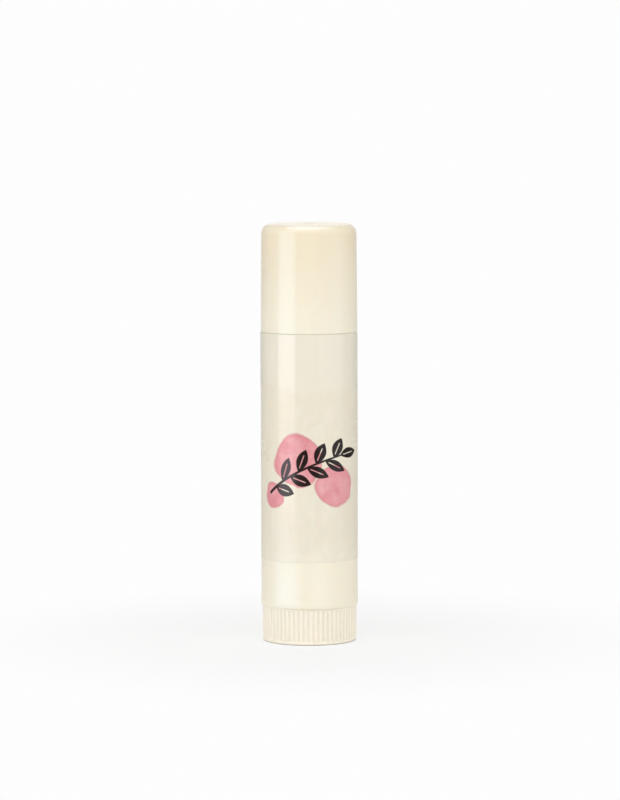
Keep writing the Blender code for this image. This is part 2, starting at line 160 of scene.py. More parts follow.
SOCKET_DEPTH = 0.0038
SOCKET_FLOOR = 0.0004

# Screw
LEAD = 0.0032
THREAD_RADIUS = 0.0020
THREAD_DEPTH = 0.00055
THREAD_SINK = 0.0003
THREAD_ROOT = 0.0016
THREAD_CREST = 0.0008
THREAD_UP = 0.00835
FLANGE_RADIUS = 0.0027
FLANGE_HEIGHT = 0.0009
FLANGE_GAP = 0.0001
TIP_CHAMFER = 0.0005

# Elevator cup
CUP_WALL = 0.0007
CUP_FLOOR = 0.0010
CUP_RIM_ROUND = 0.00022
NUT_RADIUS = 0.00322
NUT_HEIGHT = 0.0045
NUT_CLEARANCE = 0.00012
KEY_CLEARANCE = 0.00015
HOLD_SLOT_WIDTH = 0.0030
HOLD_SLOT_DEPTH = 0.0028

# Balm. The wear's detail is the noise's dimension, the step between its octaves and their number
BALM_CLEARANCE = 0.00015
BALM_BORE_CLEARANCE = 0.0002
BALM_CROWN = 0.0013
BALM_CROWN_ROWS = 20
BALM_SIDE_ROWS = 60
BALM_MOUTH = 0.0005
BALM_WEAR = 0.00014
BALM_WEAR_SIZE = 0.0026
BALM_WEAR_DETAIL = (1.0, 2.0, 3)
BALM_SIDE_WEAR_SHARE = 0.25

# Label
FILM_THICKNESS = 0.000030
FILM_COLUMNS = 240
FILM_ROWS = 104
FILM_LOOSE_GAP = 0.000042
FILM_LOOSE_LEAN = 0.000026
FILM_STUCK_GAP = 0.000014
FILM_WAVE = 0.000005
FILM_WAVE_SIZE = 0.0021
FILM_EDGE_WAVE = 0.00010
FILM_EDGE_WAVE_SIZE = 0.0030
FILM_TOP_RISE = 0.00020
FILM_TOP_WAVE = 0.00003
FILM_LAP = 0.0024
FILM_LAP_RISE = 0.000075
FILM_LAP_RAMP = 0.0016
SEAM_ANGLE = math.radians(118.125)
LOOSE_HEIGHT = 0.0088
LOOSE_WANDER = 0.0011
LOOSE_WANDER_SIZE = 0.0040
LOOSE_BLEND = 0.0009

# Radii and heights that follow
BARREL_RADIUS = BARREL_HIGH.x - FOOT_LIP_RISE
LIP_RADIUS = BARREL_RADIUS + FOOT_LIP_SOFT_RISE
NECK_RADIUS = BARREL_RADIUS - SHOULDER_WIDTH
BORE_RADIUS = NECK_RADIUS - NECK_WALL
NOTCH_RADIUS = BORE_RADIUS - KEY_RISE - KEY_CLEARANCE
NOTCH_WIDTH = KEY_WIDTH + 2 * KEY_CLEARANCE
CORE_RADIUS = THREAD_RADIUS - THREAD_DEPTH
DIAL_RADIUS = BARREL_RADIUS - DIAL_SETBACK
HUB_RADIUS = BORE_RADIUS - HUB_CLEARANCE
FOOT_Z = BARREL_LOW.z + FOOT_LIFT
RIM_Z = BARREL_HIGH.z
SHOULDER_Z = RIM_Z - NECK_LENGTH
DIAL_HEIGHT = FOOT_Z - DIAL_SEAM
RIB_TOP_Z = DIAL_HEIGHT - COLLAR_HEIGHT
NUT_Z = CUP_LOW.z + NUT_HEIGHT

# The photograph's camera, solved from the sag of the stick's seams and rims
CAMERA_PLACE = (0.00026, -0.650, 0.0985)
CAMERA_TURN = (math.radians(84.8317), math.radians(0.13), 0.0)
FRAME_HEIGHT_PIXELS = 800
FOCAL_PIXELS = 3963
SENSOR_HEIGHT = 36.0
NEAR_CLIP = 0.01

TO_MILLIMETRES = 1000.0


def srgb(red, green, blue):
    """A colour in 8-bit sRGB, as linear light with full alpha."""
    shares = [c / 255 for c in (red, green, blue)]
    return (*[s / 12.92 if s <= 0.04045 else ((s + 0.055) / 1.055) ** 2.4 for s in shares], 1.0)


class Value:
    """A number, colour or vector in a material. Arithmetic on numbers adds Math nodes."""

    def __init__(self, finish, socket):
        self.finish = finish
        self.socket = socket

    def math(self, operation, *values):
        return self.finish.add("ShaderNodeMath", {"operation": operation}, values)

    def __add__(self, other):
        return self.math("ADD", self, other)

    def __radd__(self, other):
        return self.math("ADD", other, self)

    def __sub__(self, other):
        return self.math("SUBTRACT", self, other)

    def __rsub__(self, other):
        return self.math("SUBTRACT", other, self)

    def __mul__(self, other):
        return self.math("MULTIPLY", self, other)

    def __rmul__(self, other):
        return self.math("MULTIPLY", other, self)

    def __truediv__(self, other):
        return self.math("DIVIDE", self, other)

    def __neg__(self):
        return self.math("SUBTRACT", 0.0, self)

    def __abs__(self):
        return self.math("ABSOLUTE", self)

    def __mod__(self, other):
        return self.math("FLOORED_MODULO", self, other)

    def root(self):
        return self.math("SQRT", self)

    def over(self, other):
        return self.math("GREATER_THAN", self, other)

    def most(self, other):
        return self.math("MAXIMUM", self, other)


class Graph:
    """The nodes of a material or of the world."""

    def __init__(self, tree):
        self.tree = tree

    def add(self, kind, settings, inputs, output=None):
        """Adds a node, sets it, gives its sockets their values or links, and returns one output."""
        node = self.tree.nodes.new(kind)
        for name, value in settings.items():
            setattr(node, name, value)
        sockets = [s for s in node.inputs if s.enabled]
        if isinstance(inputs, dict):
            pairs = [(next(s for s in sockets if s.name == name), v) for name, v in inputs.items()]
        else:
            pairs = list(zip(sockets, inputs))
        for socket, value in pairs:
            self.give(socket, value)
        outputs = [s for s in node.outputs if s.enabled]
        return Value(self, next(s for s in outputs if output in (None, s.name)))

    def give(self, socket, value):
        if isinstance(value, Value):
            self.tree.links.new(value.socket, socket)
        else:
            socket.default_value = value

    def drive(self, shader, values):
        """Links values to a shader's sockets, or sets them where they are constant."""
        for name, value in values.items():
            self.give(shader.inputs[name], value)


class Finish(Graph):
    """A node material on a piece's own coordinates, in millimetres round a middle height."""

    def __init__(self, tree, middle_z=0.0):
        super().__init__(tree)
        coordinates = self.add("ShaderNodeTexCoord", {}, {}, "Object")
        self.place = self.add(
            "ShaderNodeMapping",
            {"vector_type": "POINT"},
            {
                "Vector": coordinates,
                "Location": (0.0, 0.0, -middle_z * TO_MILLIMETRES),
                "Scale": (TO_MILLIMETRES,) * 3,
            },
        )
        self.x, self.y, self.z = [self.add("ShaderNodeSeparateXYZ", {}, (self.place,), a) for a in "XYZ"]

    def radius(self):
        return (self.x * self.x + self.y * self.y).root()

    def round_front(self, radius):
        """The way round the surface from the front, which grows to the right."""
        turn = self.x.math("ARCTAN2", self.x, -self.y)
        return turn * radius

    def step(self, value, low, high):
        """0 below low and 1 above high, with a smooth change between them."""
        return self.add(
            "ShaderNodeMapRange",
            {"interpolation_type": "SMOOTHSTEP"},
            {"Value": value, "From Min": low, "From Max": high, "To Min": 0.0, "To Max": 1.0},
        )

    def mottle(self, size, detail=2.0, roughness=0.5, stretch=(1.0, 1.0, 1.0), shift=(0.0, 0.0, 0.0)):
        """Noise from 0 to 1, with lumps of about the given size in millimetres."""
        vector = self.add(
            "ShaderNodeMapping",
            {"vector_type": "POINT"},
            {"Vector": self.place, "Location": shift, "Scale": stretch},
        )
        return self.add(
            "ShaderNodeTexNoise",
            {"noise_dimensions": "3D"},
            {"Vector": vector, "Scale": 1.0 / size, "Detail": detail, "Roughness": roughness},
            "Fac",
        )

    def wander(self, size, reach, detail=1.0):
        """Noise round zero that moves an edge to and fro within a reach."""
        return reach * (self.mottle(size, detail) - 0.5)

    def mix(self, factor, first, second):
        return self.add(
            "ShaderNodeMix",
            {"data_type": "RGBA", "blend_type": "MIX"},
            {"Factor": factor, "A": first, "B": second},
        )

    def bumps(self, height):
        """The normal of a surface with these heights, in millimetres."""
        return self.add(
            "ShaderNodeBump",
            {},
            {"Strength": 1.0, "Distance": 1.0 / TO_MILLIMETRES, "Height": height},
        )


def new_finish(name, middle_z=0.0):
    """A new material, with its Principled shader and the finish that feeds it."""
    material = bpy.data.materials.new(name)
    material.use_nodes = True
    return material, material.node_tree.nodes["Principled BSDF"], Finish(material.node_tree, middle_z)


def turned(outline, steps=ROUND_STEPS, closed=False):
    """A shape turned once round Z. A point is a radius and a height, and its rounding where it has one."""
    shape = bmesh.new()
    verts = [shape.verts.new((point[0], 0.0, point[1])) for point in outline]
    edges = [shape.edges.new(pair) for pair in zip(verts, verts[1:])]
    if closed:
        edges.append(shape.edges.new((verts[-1], verts[0])))
    bmesh.ops.spin(
        shape,
        geom=verts + edges,
        cent=(0, 0, 0),
        axis=(0, 0, 1),
        angle=2 * math.pi,
        steps=steps,
        use_merge=True,
    )
    bmesh.ops.remove_doubles(shape, verts=shape.verts, dist=WELD)
    for point in outline:
        if len(point) == 3:
            round_ring(shape, *point)
    bmesh.ops.recalc_face_normals(shape, faces=shape.faces)
    return shape


def round_ring(shape, radius, height, rounding):
    """Rounds the ring of edges at a radius and a height."""
    at_ring = {
        v for v in shape.verts if abs(v.co.xy.length - radius) < WELD and abs(v.co.z - height) < WELD
    }
    ring = [e for e in shape.edges if at_ring.issuperset(e.verts)]
    bmesh.ops.bevel(
        shape,
        geom=ring,
        offset=rounding,
        offset_type="OFFSET",
        segments=BEND_STEPS,
        profile=0.5,
        affect="EDGES",
        material=-1,
    )


def ridge(radius, rise, middle_z, height):
    """Points down a low bead with sloping sides, or a groove where rise is negative."""
    return [
        (radius, middle_z + height / 2),
        (radius + rise, middle_z + height / 4),
        (radius + rise, middle_z - height / 4),
        (radius, middle_z - height / 2),
    ]


def add_bar(shape, low, high, turn=0.0, rounding=0.0):
    """Adds a box from its low corner to its high one, turned about Z, with its edges rounded."""
    size = Vector(high) - Vector(low)
    middle = (Vector(high) + Vector(low)) / 2
    place = Matrix.Rotation(turn, 4, "Z") @ Matrix.Translation(middle) @ Matrix.Diagonal((*size, 1))
    made = bmesh.ops.create_cube(shape, size=1, matrix=place)["verts"]
    if rounding:
        bmesh.ops.bevel(
            shape,
            geom=list({e for v in made for e in v.link_edges}),
            offset=rounding,
            segments=BAR_EDGE_STEPS,
            profile=0.5,
            affect="EDGES",
            material=-1,
        )


def key_bars(inner, outer, width, low_z, high_z, rounding=0.0):
    """Bars at the places of the barrel's keys."""
    shape = bmesh.new()
    for i in range(KEY_COUNT):
        turn = 2 * math.pi * i / KEY_COUNT
        add_bar(shape, (inner, -width / 2, low_z), (outer, width / 2, high_z), turn, rounding)
    return shape


def hex_prism(radius, low_z, high_z):
    shape = bmesh.new()
    bmesh.ops.create_cone(
        shape,
        cap_ends=True,
        segments=HEX_SIDES,
        radius1=radius,
        radius2=radius,
        depth=high_z - low_z,
        matrix=Matrix.Translation((0, 0, (low_z + high_z) / 2)),
    )
    return shape


def thread_rib(core, crest, root_width, crest_width, low_z, high_z):
    """A left-hand helical rib, whose place round the axis depends on its height alone."""
    turns = math.ceil((high_z - low_z) / LEAD)
    root = core - THREAD_SINK
    outline = [
        (root, -root_width / 2),
        (root, root_width / 2),
        (crest, crest_width / 2),
        (crest, -crest_width / 2),
    ]
    shape = bmesh.new()
    verts = [shape.verts.new((r, 0.0, low_z + z)) for r, z in outline]
    edges = [shape.edges.new(pair) for pair in zip(verts, verts[1:] + verts[:1])]
    bmesh.ops.spin(
        shape,
        geom=verts + edges,
        cent=(0, 0, 0),
        axis=(0, 0, 1),
        dvec=(0, 0, LEAD / SCREW_STEPS),
        angle=-2 * math.pi * turns,
        steps=SCREW_STEPS * turns,
    )
    bmesh.ops.remove_doubles(shape, verts=shape.verts, dist=WELD)
    bmesh.ops.holes_fill(shape, edges=[e for e in shape.edges if e.is_boundary], sides=len(outline))
    bmesh.ops.recalc_face_normals(shape, faces=shape.faces)
    start = Matrix.Rotation(-2 * math.pi * low_z / LEAD, 3, "Z")
    bmesh.ops.rotate(shape, verts=shape.verts, matrix=start)
    return shape


def loose_object(shape):
    mesh = bpy.data.meshes.new("loose")
    shape.to_mesh(mesh)
    shape.free()
    obj = bpy.data.objects.new("loose", mesh)
    bpy.context.scene.collection.objects.link(obj)
    return obj


def combined(shape, tool, operation):
    """A shape joined to another, or cut by it."""
    target = loose_object(shape)
    cutter = loose_object(tool)
    modifier = target.modifiers.new("Combine", "BOOLEAN")
    modifier.operation = operation
    modifier.object = cutter
    bpy.context.view_layer.update()
    result = bmesh.new()
    result.from_object(target, bpy.context.evaluated_depsgraph_get())
    for obj in (target, cutter):
        mesh = obj.data
        bpy.data.objects.remove(obj)
        bpy.data.meshes.remove(mesh)
    return result


def add_piece(name, shape, material, body, node):
    """A finished piece that rides on a body and stands for one of its nodes."""
    mesh = bpy.data.meshes.new(name)
    shape.to_mesh(mesh)
    shape.free()
    mesh.shade_smooth()
    mesh.set_sharp_from_angle(angle=CREASE_ANGLE)
    mesh.materials.append(material)
    obj = bpy.data.objects.new(name, mesh)
    bpy.context.scene.collection.objects.link(obj)
    even = obj.modifiers.new("Even", "WEIGHTED_NORMAL")
    even.keep_sharp = True
    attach(obj, body)
    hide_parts(node)
    return obj


def cap_shape():
    mouth_z = CAP_LOW.z - CAP_SEAT
    top_z = CAP_HIGH.z
    ceiling_z = top_z - CAP_TOP_WALL
    bore = NECK_RADIUS + CAP_CLEARANCE
    outer = CAP_HIGH.x - CAP_SETBACK
    bead = ridge(bore, -CAP_BEAD_RISE, mouth_z + CAP_BEAD_UP, CAP_BEAD_HEIGHT)
    return turned(
        [
            (0.0, top_z - CAP_GATE_DEPTH),
            (CAP_GATE_RADIUS, top_z - CAP_GATE_DEPTH),
            (CAP_GATE_RADIUS + CAP_GATE_SLOPE, top_z),
            (outer - CAP_DRAFT, top_z, CAP_CORNER),
            (outer, mouth_z, CAP_LIP_ROUND),
            (bore, mouth_z, CAP_LIP_ROUND),
            *reversed(bead),
            (bore, ceiling_z, CAP_INNER_CORNER),
            (0.0, ceiling_z),
        ]
    )


def barrel_shape():
    lip_z = FOOT_Z + FOOT_LIP_HEIGHT
    lip = []
    for i in range(BEND_STEPS + 1):
        share = i / BEND_STEPS
        rise = FOOT_LIP_SOFT_RISE * smooth_share(share, 0.0, 1.0)
        lip.append((BARREL_RADIUS + rise, lip_z + FOOT_LIP_BLEND * (1 - share)))
    groove = ridge(BORE_RADIUS, SNAP_GROOVE_DEPTH, FOOT_Z + SNAP_UP, SNAP_GROOVE_HEIGHT)
    tube = turned(
        [
            (NECK_RADIUS, RIM_Z, RIM_ROUND),
            *ridge(NECK_RADIUS, NECK_BEAD_RISE, SHOULDER_Z + NECK_BEAD_UP, NECK_BEAD_HEIGHT),
            (NECK_RADIUS, SHOULDER_Z, SHOULDER_FILLET),
            (BARREL_RADIUS, SHOULDER_Z, SHOULDER_EDGE_ROUND),
            *lip,
            (LIP_RADIUS, FOOT_Z, FOOT_EDGE_ROUND),
            (BORE_RADIUS + BORE_LEAD_IN, FOOT_Z),
            (BORE_RADIUS, FOOT_Z + BORE_LEAD_IN),
            *reversed(groove),
            (BORE_RADIUS, RIM_Z, RIM_ROUND),
        ],
        closed=True,
    )
    keys = key_bars(
        BORE_RADIUS - KEY_RISE,
        BORE_RADIUS + KEY_SINK,
        KEY_WIDTH,
        FOOT_Z + KEY_FOOT_UP,
        RIM_Z - KEY_END_DOWN,
        KEY_ROUND,
    )
    return combined(tube, keys, "UNION")


def dial_shape():
    floor_z = FOOT_RECESS_DEPTH + DIAL_FLOOR
    socket_z = floor_z + SOCKET_FLOOR
    boss_z = socket_z + SOCKET_DEPTH
    boss_radius = HEX_RADIUS + HEX_CLEARANCE + SOCKET_WALL
    side = DIAL_RADIUS - DIAL_DRAFT
    recess = DIAL_RADIUS - FOOT_RING_WIDTH
    gate_z = FOOT_RECESS_DEPTH - FOOT_GATE_RISE
    run_out = [(DIAL_RADIUS, RIB_TOP_Z - RIB_RUN_OUT * i / RIB_ROWS) for i in range(RIB_ROWS + 1)]
    foot_out = [(side, RIB_FOOT_UP + RIB_RUN_OUT * (1 - i / RIB_ROWS)) for i in range(RIB_ROWS + 1)]
    dial = turned(
        [
            (0.0, boss_z),
            (boss_radius, boss_z),
            (boss_radius, floor_z),
            (HUB_RADIUS - HUB_WALL, floor_z),
            (HUB_RADIUS - HUB_WALL, DIAL_HIGH.z),
            (HUB_RADIUS, DIAL_HIGH.z, HUB_ROUND),
            *ridge(HUB_RADIUS, SNAP_BEAD_RISE, DIAL_HIGH.z - SNAP_DOWN, SNAP_BEAD_HEIGHT),
            (HUB_RADIUS, DIAL_HEIGHT),
            (DIAL_RADIUS, DIAL_HEIGHT, COLLAR_ROUND),
            *run_out,
            *foot_out,
            (side, 0.0, FOOT_ROUND),
            (recess, 0.0, FOOT_RING_ROUND),
            (recess, FOOT_RECESS_DEPTH),
            (FOOT_GATE_RADIUS + FOOT_GATE_SLOPE, FOOT_RECESS_DEPTH),
            (FOOT_GATE_RADIUS, gate_z),
            (0.0, gate_z),
        ],
        steps=RIB_COUNT * RIB_STEPS,
    )
    cut_grip(dial)
    socket = hex_prism(HEX_RADIUS + HEX_CLEARANCE, socket_z, boss_z + OVERRUN)
    return combined(dial, socket, "DIFFERENCE")


def cut_grip(dial):
    """Draws the dial's side in between its ribs, less and less towards its top and its foot."""
    for vert in dial.verts:
        radius = vert.co.xy.length
        if radius < DIAL_RADIUS - DIAL_DRAFT - WELD or not RIB_FOOT_UP < vert.co.z < RIB_TOP_Z:
            continue
        turn = RIB_COUNT * (math.atan2(vert.co.y, vert.co.x) - RIB_PHASE)
        valley = ((1 - math.cos(turn)) / 2) ** RIB_NARROWNESS
        fade = smooth_share(min(RIB_TOP_Z - vert.co.z, vert.co.z - RIB_FOOT_UP), 0.0, RIB_RUN_OUT)
        vert.co.xy *= (radius - RIB_DEPTH * valley * fade) / radius


def screw_shape():
    tip_z = SCREW_HIGH.z
    flange_z = SCREW_LOW.z - HEX_END_GAP + SOCKET_DEPTH + FLANGE_GAP
    core = turned(
        [
            (0.0, tip_z),
            (CORE_RADIUS - TIP_CHAMFER, tip_z),
            (CORE_RADIUS, tip_z - TIP_CHAMFER),
            (CORE_RADIUS, flange_z + FLANGE_HEIGHT),
            (FLANGE_RADIUS, flange_z + FLANGE_HEIGHT),
            (FLANGE_RADIUS, flange_z),
            (0.0, flange_z),
        ],
        steps=SCREW_STEPS,
    )
    rib_z = SCREW_LOW.z + THREAD_UP
    rib = thread_rib(CORE_RADIUS, THREAD_RADIUS, THREAD_ROOT, THREAD_CREST, rib_z, tip_z - TIP_CHAMFER - LEAD)
    foot = hex_prism(HEX_RADIUS, SCREW_LOW.z, flange_z + HEX_SINK)
    return combined(combined(core, rib, "UNION"), foot, "UNION")


def nut_hole():
    """The screw's shape grown by the nut's clearance, which cuts the cup's threaded hole."""
    low_z = CUP_LOW.z - OVERRUN
    high_z = NUT_Z + OVERRUN
    core_radius = CORE_RADIUS + NUT_CLEARANCE
    core = turned(
        [(0.0, high_z), (core_radius, high_z), (core_radius, low_z), (0.0, low_z)], steps=SCREW_STEPS
    )
    rib = thread_rib(
        core_radius,
        THREAD_RADIUS + NUT_CLEARANCE,
        THREAD_ROOT + 2 * NUT_CLEARANCE,
        THREAD_CREST + 2 * NUT_CLEARANCE,
        CUP_LOW.z - LEAD,
        NUT_Z + LEAD,
    )
    return combined(core, rib, "UNION")


def cup_shape():
    inner = CUP_HIGH.y - CUP_WALL
    floor_z = CUP_LOW.z + CUP_FLOOR
    cup = turned(
        [
            (0.0, NUT_Z),
            (NUT_RADIUS, NUT_Z),
            (NUT_RADIUS, floor_z),
            (inner, floor_z),
            (inner, CUP_HIGH.z, CUP_RIM_ROUND),
            (inner + CUP_WALL, CUP_HIGH.z, CUP_RIM_ROUND),
            (inner + CUP_WALL, CUP_LOW.z),
            (0.0, CUP_LOW.z),
        ]
    )
    notches = key_bars(
        NOTCH_RADIUS, BORE_RADIUS + OVERRUN, NOTCH_WIDTH, CUP_LOW.z - OVERRUN, CUP_HIGH.z + OVERRUN
    )
    cup = combined(cup, notches, "DIFFERENCE")
    slots = bmesh.new()
    for turn in (-math.pi / 2, math.pi / 2):
        low = (inner - CUP_WALL, -HOLD_SLOT_WIDTH / 2, CUP_HIGH.z - HOLD_SLOT_DEPTH)
        high = (inner + CUP_WALL + OVERRUN, HOLD_SLOT_WIDTH / 2, CUP_HIGH.z + OVERRUN)
        add_bar(slots, low, high, turn)
    cup = combined(cup, slots, "DIFFERENCE")
    return combined(cup, nut_hole(), "DIFFERENCE")


def balm_shape():
    top_z = BALM_HIGH.z
    outer = BORE_RADIUS - BALM_CLEARANCE
    bore = THREAD_RADIUS + BALM_BORE_CLEARANCE
    plug = outer - CUP_WALL - BALM_CLEARANCE
    mouth = bore + BALM_MOUTH
    ledge_z = CUP_HIGH.z + BALM_CLEARANCE
    nut_z = NUT_Z + BALM_CLEARANCE
    nut_gap = NUT_RADIUS + BALM_CLEARANCE
    crown = []
    for i in range(BALM_CROWN_ROWS + 1):
        angle = math.pi / 2 * i / BALM_CROWN_ROWS
        crown.append(
            (mouth + (outer - mouth) * math.sin(angle), top_z - BALM_CROWN * (1 - math.cos(angle)))
        )
    side_z = top_z - BALM_CROWN
    drop = ledge_z - side_z
    side = [(outer, side_z + drop * i / BALM_SIDE_ROWS) for i in range(1, BALM_SIDE_ROWS + 1)]
    balm = turned(
        [
            *crown,
            *side,
            (plug, ledge_z),
            (plug, BALM_LOW.z),
            (nut_gap, BALM_LOW.z),
            (nut_gap, nut_z),
            (bore, nut_z),
            (bore, top_z - BALM_MOUTH),
        ],
        closed=True,
    )
    wear_balm(balm, ledge_z)
    return balm


def wear_balm(balm, ledge_z):
    """Presses the key grooves into the balm, and rubs its crown down unevenly."""
    outer = BORE_RADIUS - BALM_CLEARANCE
    for vert in balm.verts:
        radius = vert.co.xy.length
        if vert.co.z >= ledge_z - WELD and abs(vert.co.y) < NOTCH_WIDTH / 2 and radius > NOTCH_RADIUS:
            vert.co.xy *= NOTCH_RADIUS / radius
        crown = max(0.0, 1 - (BALM_HIGH.z - vert.co.z) / (2 * BALM_CROWN))
        rub = noise.fractal(vert.co / BALM_WEAR_SIZE, *BALM_WEAR_DETAIL)
        if radius > THREAD_RADIUS + BALM_BORE_CLEARANCE + WELD:
            vert.co.z -= BALM_WEAR * crown * (0.5 + 0.5 * rub)
        if radius > outer - WELD:
            vert.co.xy *= 1 - abs(rub) * BALM_WEAR * BALM_SIDE_WEAR_SHARE / radius


def film_height(share_up, turn):
    """The height on the film of a share of its way up, with its cut edges not quite straight."""
    around = Vector((math.cos(turn), math.sin(turn), 0.0)) * BARREL_RADIUS
    wander = noise.noise(around / FILM_EDGE_WAVE_SIZE)
    low = LABEL_LOW.z + FILM_EDGE_WAVE * (0.5 + 0.5 * wander)
    high = LABEL_HIGH.z + FILM_TOP_RISE + FILM_TOP_WAVE * wander
    return low + (high - low) * share_up


def smooth_share(value, low, high):
    share = min(1.0, max(0.0, (value - low) / (high - low)))
    return share * share * (3 - 2 * share)


def film_radius(turn, height, way_round):
    """The film's middle radius: loose near the top, stuck down with small waves below, lapped at the end."""
    around = Vector((math.cos(turn), math.sin(turn), 0.0)) * BARREL_RADIUS
    edge = LABEL_HIGH.z - LOOSE_HEIGHT + LOOSE_WANDER * noise.noise(around / LOOSE_WANDER_SIZE)
    loose = smooth_share(height, edge - LOOSE_BLEND, edge + LOOSE_BLEND)
    place = around + Vector((0.0, 0.0, height))
    wave = FILM_WAVE * (0.5 + 0.5 * noise.noise(place / FILM_WAVE_SIZE))
    loose_gap = FILM_LOOSE_GAP - FILM_LOOSE_LEAN * math.cos(turn)
    gap = FILM_STUCK_GAP + (loose_gap - FILM_STUCK_GAP) * loose + wave * (1 - loose)
    full = 2 * math.pi * BARREL_RADIUS
    lap = FILM_LAP_RISE * smooth_share(way_round, full - FILM_LAP_RAMP, full)
    return BARREL_RADIUS + gap + lap


def label_shape():
    """A sheet wrapped once round the barrel, with its end lapped over its start behind."""
    shape = bmesh.new()
    bmesh.ops.create_grid(shape, x_segments=FILM_COLUMNS, y_segments=FILM_ROWS, size=0.5)
    length = 2 * math.pi * BARREL_RADIUS + FILM_LAP
    for vert in shape.verts:
        way_round = length * (vert.co.x + 0.5)
        turn = SEAM_ANGLE + way_round / BARREL_RADIUS
        height = film_height(vert.co.y + 0.5, turn)
        radius = film_radius(turn, height, way_round) + FILM_THICKNESS / 2
        vert.co = (radius * math.cos(turn), radius * math.sin(turn), height)
    bmesh.ops.recalc_face_normals(shape, faces=shape.faces)
    bmesh.ops.solidify(shape, geom=shape.faces, thickness=FILM_THICKNESS)
    bmesh.ops.recalc_face_normals(shape, faces=shape.faces)
    return shape


# In the materials a size, reach, rise or depth is in millimetres, a band is where a mask fades in, a tint
# is a share of colour, a dulling adds to the roughness, and a scatter depth alone is in metres

# Cream plastic
PALE_CREAM = srgb(255, 250, 236)
CREAM_IOR = 1.36
CREAM_SCATTER = 0.12
CREAM_SCATTER_DEPTH = 0.0012
CLOUD_SIZE = 6.0
CLOUD_BAND = (0.35, 0.65)
CLOUD_TINT = 0.05
CLOUD_DULLING = 0.07
RUB_SIZE = 0.35
RUB_STRETCH = (1.0, 1.0, 0.06)
RUB_BAND = (0.56, 0.72)
RUB_DULLING = 0.10
RUB_DEPTH = 0.0006
PEEL_SIZE = 0.9
PEEL_RISE = 0.0012
FINE_PEEL_SIZE = 0.16
FINE_PEEL_RISE = 0.0005

# Cap and barrel: the colours low and high on the piece, and its own roughness. The cap's darker, warmer top
# is in part painted shade
CAP_CREAM_WITH_SHADED_TOP = (srgb(246, 237, 217), srgb(242, 228, 201), 0.15)
BARREL_CREAM = (srgb(247, 239, 218), srgb(246, 238, 218), 0.26)

# Dial
DIAL_CREAM = srgb(250, 243, 225)
# The valley colour is painted shade, laid in the grip's valleys, on the rounding under the foot and on the
# top face
VALLEY_SHADE_CREAM = srgb(234, 222, 200)
VALLEY_START = 0.02
VALLEY_SHADE_TINT = 0.7
VALLEY_DULLING = 0.15
GRIP_INSIDE = 7.4
DIAL_ROUGHNESS = 0.20
DIAL_CLOUD_SIZE = 3.0
DIAL_CLOUD_DULLING = 0.08
DIAL_PEEL_RISE = 0.0006

# Undyed plastic
MILKY = srgb(240, 238, 230)
SMEARED = srgb(239, 228, 196)
NATURAL_IOR = 1.49
NATURAL_SCATTER = 0.35
NATURAL_SCATTER_DEPTH = 0.0015
NATURAL_ROUGHNESS = 0.34
NATURAL_CLOUD_SIZE = 0.8
NATURAL_CLOUD_DULLING = 0.12
NATURAL_PEEL_SIZE = 0.5
NATURAL_PEEL_RISE = 0.0015
SMEAR_SIZE = 1.6
SMEAR_BAND = (0.52, 0.68)
SMEAR_TINT = 0.5
SMEAR_SHINE = 0.14
SMEAR_RISE = 0.004

# Wax
WAX_DEEP = srgb(240, 224, 178)
WAX_PALE = srgb(247, 236, 200)
WAX_IOR = 1.44
WAX_SCATTER = 0.5
WAX_SCATTER_DEPTH = 0.0016
WAX_ROUGHNESS = 0.30
WAX_PATCH_SIZE = 2.2
WAX_PATCH_BAND = (0.3, 0.7)
WAX_PATCH_DULLING = 0.22
DRAG_SIZE = 0.35
DRAG_STRETCH = (0.15, 1.0, 1.0)
DRAG_RISE = 0.020
RING_SIZE = 0.5
RING_STRETCH = (0.1, 0.1, 1.0)
RING_RISE = 0.010
RING_DULLING = 0.10
WAX_GRAIN_SIZE = 0.22
WAX_GRAIN_RISE = 0.006


def cream_plastic(name, low_z, high_z, low_colour, high_colour, dullness):
    """Smooth cream plastic with a soft gloss, faint flow and rub marks, and a tone that follows height, which
    on the cap is in part painted shade darker towards its top.
    """
    material, shader, finish = new_finish(name, (low_z + high_z) / 2)
    half = (high_z - low_z) / 2 * TO_MILLIMETRES
    # On the cap the darker, warmer colour towards the top is in part painted shade
    tone = finish.mix(finish.step(finish.z, -half, half), low_colour, high_colour)
    cloud = finish.mottle(CLOUD_SIZE)
    tone = finish.mix(CLOUD_TINT * finish.step(cloud, *CLOUD_BAND), tone, PALE_CREAM)
    rubs = finish.mottle(RUB_SIZE, detail=3.0, roughness=0.6, stretch=RUB_STRETCH)
    rubs = finish.step(rubs, *RUB_BAND)
    shine = dullness + CLOUD_DULLING * cloud + RUB_DULLING * rubs
    peel = PEEL_RISE * finish.mottle(PEEL_SIZE) + FINE_PEEL_RISE * finish.mottle(FINE_PEEL_SIZE, detail=1.0)
    relief = finish.bumps(peel - RUB_DEPTH * rubs)
    finish.drive(shader, {"Base Color": tone, "Roughness": shine, "Normal": relief, "IOR": CREAM_IOR})
    finish.drive(shader, {"Subsurface Weight": CREAM_SCATTER, "Subsurface Scale": CREAM_SCATTER_DEPTH})
    return material


